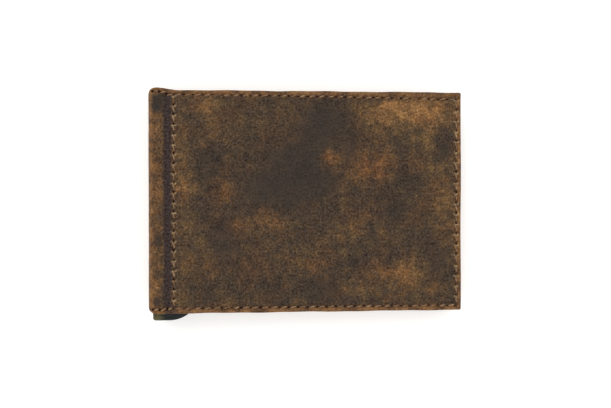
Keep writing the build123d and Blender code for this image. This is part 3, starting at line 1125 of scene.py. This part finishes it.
def sewn(name, paths, pitch, rise, seed):
    # paths is a list of (points, outward directions); the result is one plain mesh
    points, outward, edges = [], [], []
    for path, directions in paths:
        base = len(points)
        points += [tuple(p) for p in path]
        outward += [tuple(d) for d in directions]
        edges += [(base + i, base + i + 1) for i in range(len(path) - 1)]
    guide = bpy.data.meshes.new(name + "Path")
    guide.from_pydata(points, edges, [])
    addAttribute(guide, "outward", "FLOAT_VECTOR", outward)
    carrier = addObject(name + "Path", guide)
    modifier = carrier.modifiers.new("stitches", "NODES")
    modifier.node_group = seamTree
    wanted = {"Pitch": pitch, "Rise": rise, "Seed": seed}
    wanted.update({"Thread Material": waxedThread, "Hole Material": needleHole})
    for item in seamTree.interface.items_tree:
        if item.in_out == "INPUT" and item.name in wanted:
            modifier[item.identifier] = wanted[item.name]
    bpy.context.view_layer.update()
    evaluated = carrier.evaluated_get(bpy.context.evaluated_depsgraph_get())
    mesh = bpy.data.meshes.new_from_object(evaluated)
    carrier.modifiers.clear()
    bpy.data.objects.remove(carrier)
    bpy.data.meshes.remove(guide)
    mesh.name = name
    return addObject(name, mesh)


def outsidePath(across, height, side):
    run = across + cornerRun
    return foldedPlace(run, height, -jacketRelief(run, height, side), side)


def insideDepth(height):
    depth = wallet["leather"] + wallet["lining"] + wallet["panel"]
    for lip in wallet["slotLips"].values():
        depth = depth + wallet["slotSheet"] * (1 - ease(height, lip - 0.25 * mm, lip + 0.25 * mm))
    return depth


def insidePath(across, height, side):
    place, outwards = foldedPlace(across + cornerRun, height, insideDepth(height), side)
    return place, -outwards


def seamFrame(side):
    # round a cover on its outside and its inside: three sides, then the free end
    left, right = seams["leftAcross"], rightAcross
    crossing = np.linspace(left, right, 240)
    topLine, bottomLine = seamHeight(crossing, True), seamHeight(crossing, False)
    rising = np.linspace(bottomLine[0], topLine[0], 160)
    falling = np.linspace(topLine[-1], bottomLine[-1], 160)
    onLeft, onRight = 0 * rising + left, 0 * falling + right
    mainLines = [(crossing, topLine), (crossing[::-1], bottomLine[::-1]), (onLeft, rising)]
    main = [outsidePath(*line, side) for line in mainLines]
    main += [insidePath(*line, side) for line in mainLines]
    end = [outsidePath(onRight, falling, side), insidePath(onRight, falling, side)]
    return main, end, (topLine[-1] - bottomLine[-1]) / seams["stitchesUpEnd"]


for side, seed in coverSeeds.items():
    mainPaths, endPaths, endPitch = seamFrame(side)
    for name, paths, pitch in (("Thread", mainPaths, seams["pitch"]), ("EndThread", endPaths, endPitch)):
        threads = sewn(side + name, paths, pitch, stitch["rise"], 5 + seed)
        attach(threads, side)
    first = seams["leftAcross"] - seams["foldPitch"] * seams["foldStitches"]
    acrosses = np.linspace(first, seams["leftAcross"], 40)
    foldPaths = [outsidePath(acrosses, seamHeight(acrosses, top), side) for top in (True, False)]
    name = side + "FoldThread"
    foldThreads = sewn(name, foldPaths, seams["foldPitch"], stitch["foldRise"], 2 + seed)
    bendAtFold(foldThreads, side)
print("seams sewn")


# the metal parts are the CAD's own
finishes = {"clip_base": clipGunmetal, "clip_arm": clipGunmetal, "leaf_spring": springBlued}
for name, node in cadNodes.items():
    metal = finishes.get(name, rivetBrass)
    if "rivet" in name or name in finishes:
        node.data.materials.clear()
        node.data.materials.append(metal)
print("metal finished")


# floor, light and camera
studio = {
    "floorBelow": 0.75 * mm,
    "floorSize": 9,
    "floorColour": "f7f6f4",
    "floorShade": "f4f3f1",
    "floorGlow": 0.28,  # keeps the shadow faint
    "skyStrength": 1.0,
    "lights": {  # place, size, power and colour
        "keyLight": ((-0.35, 0.45, 0.75), 0.7, 2.2, (1.0, 0.98, 0.95)),
        "fillLight": ((0.6, -0.35, 0.6), 0.9, 0.8, (0.97, 0.98, 1.0)),
    },
    "lens": 71.05,  # mm, on a 36 mm sensor
    "cameraPlace": (-33.27 * mm, 3.65 * mm, 433.97 * mm),
    "cameraTurn": (-0.612, -4.502, -0.059),  # degrees: tilt, pan and roll
}


def buildFloor():
    half = studio["floorSize"] / 2
    level = cadBox[0][2] - studio["floorBelow"]
    mesh = bpy.data.meshes.new("floor")
    corners = [(-half, -half, level), (half, -half, level), (half, half, level), (-half, half, level)]
    mesh.from_pydata(corners, [], [(0, 1, 2, 3)])
    floor = addObject("floor", mesh)
    material, tree, shader = startMaterial("paleFloor")
    place = addNode(tree, "ShaderNodeTexCoord").outputs["Object"]
    soft = grain(tree, place, 6.0, 2.0, 0.5)
    stops = [(0.3, studio["floorShade"]), (0.7, studio["floorColour"])]
    dress(tree, shader, colourRamp(tree, soft, stops), 0.9, 0.1)
    shader.inputs["Emission Color"].default_value = tint(studio["floorColour"])
    shader.inputs["Emission Strength"].default_value = studio["floorGlow"]
    mesh.materials.append(material)


def areaLight(name, place, size, power, colour):
    data = bpy.data.lights.new(name, "AREA")
    data.shape = "DISK"
    data.size = size
    data.energy = power
    data.color = colour
    light = addObject(name, data)
    light.location = place
    light.rotation_euler = (-Vector(place)).to_track_quat("-Z", "Y").to_euler()


buildFloor()
for name, settings in studio["lights"].items():
    areaLight(name, *settings)

world = bpy.data.worlds.new("studioSky")
world.use_nodes = True
sky = world.node_tree.nodes["Background"]
sky.inputs["Color"].default_value = (1.0, 1.0, 1.0, 1.0)
sky.inputs["Strength"].default_value = studio["skyStrength"]
bpy.context.scene.world = world
bpy.context.scene.view_settings.view_transform = "Standard"

cameraData = bpy.data.cameras.new("camera")
cameraData.lens = studio["lens"]
cameraData.sensor_width = 36
cameraData.clip_start = 0.01
camera = addObject("camera", cameraData)
camera.location = studio["cameraPlace"]
turned = Euler([math.radians(a) for a in studio["cameraTurn"]], "ZXY")
camera.rotation_euler = turned.to_matrix().to_euler()
bpy.context.scene.camera = camera
print("studio set")
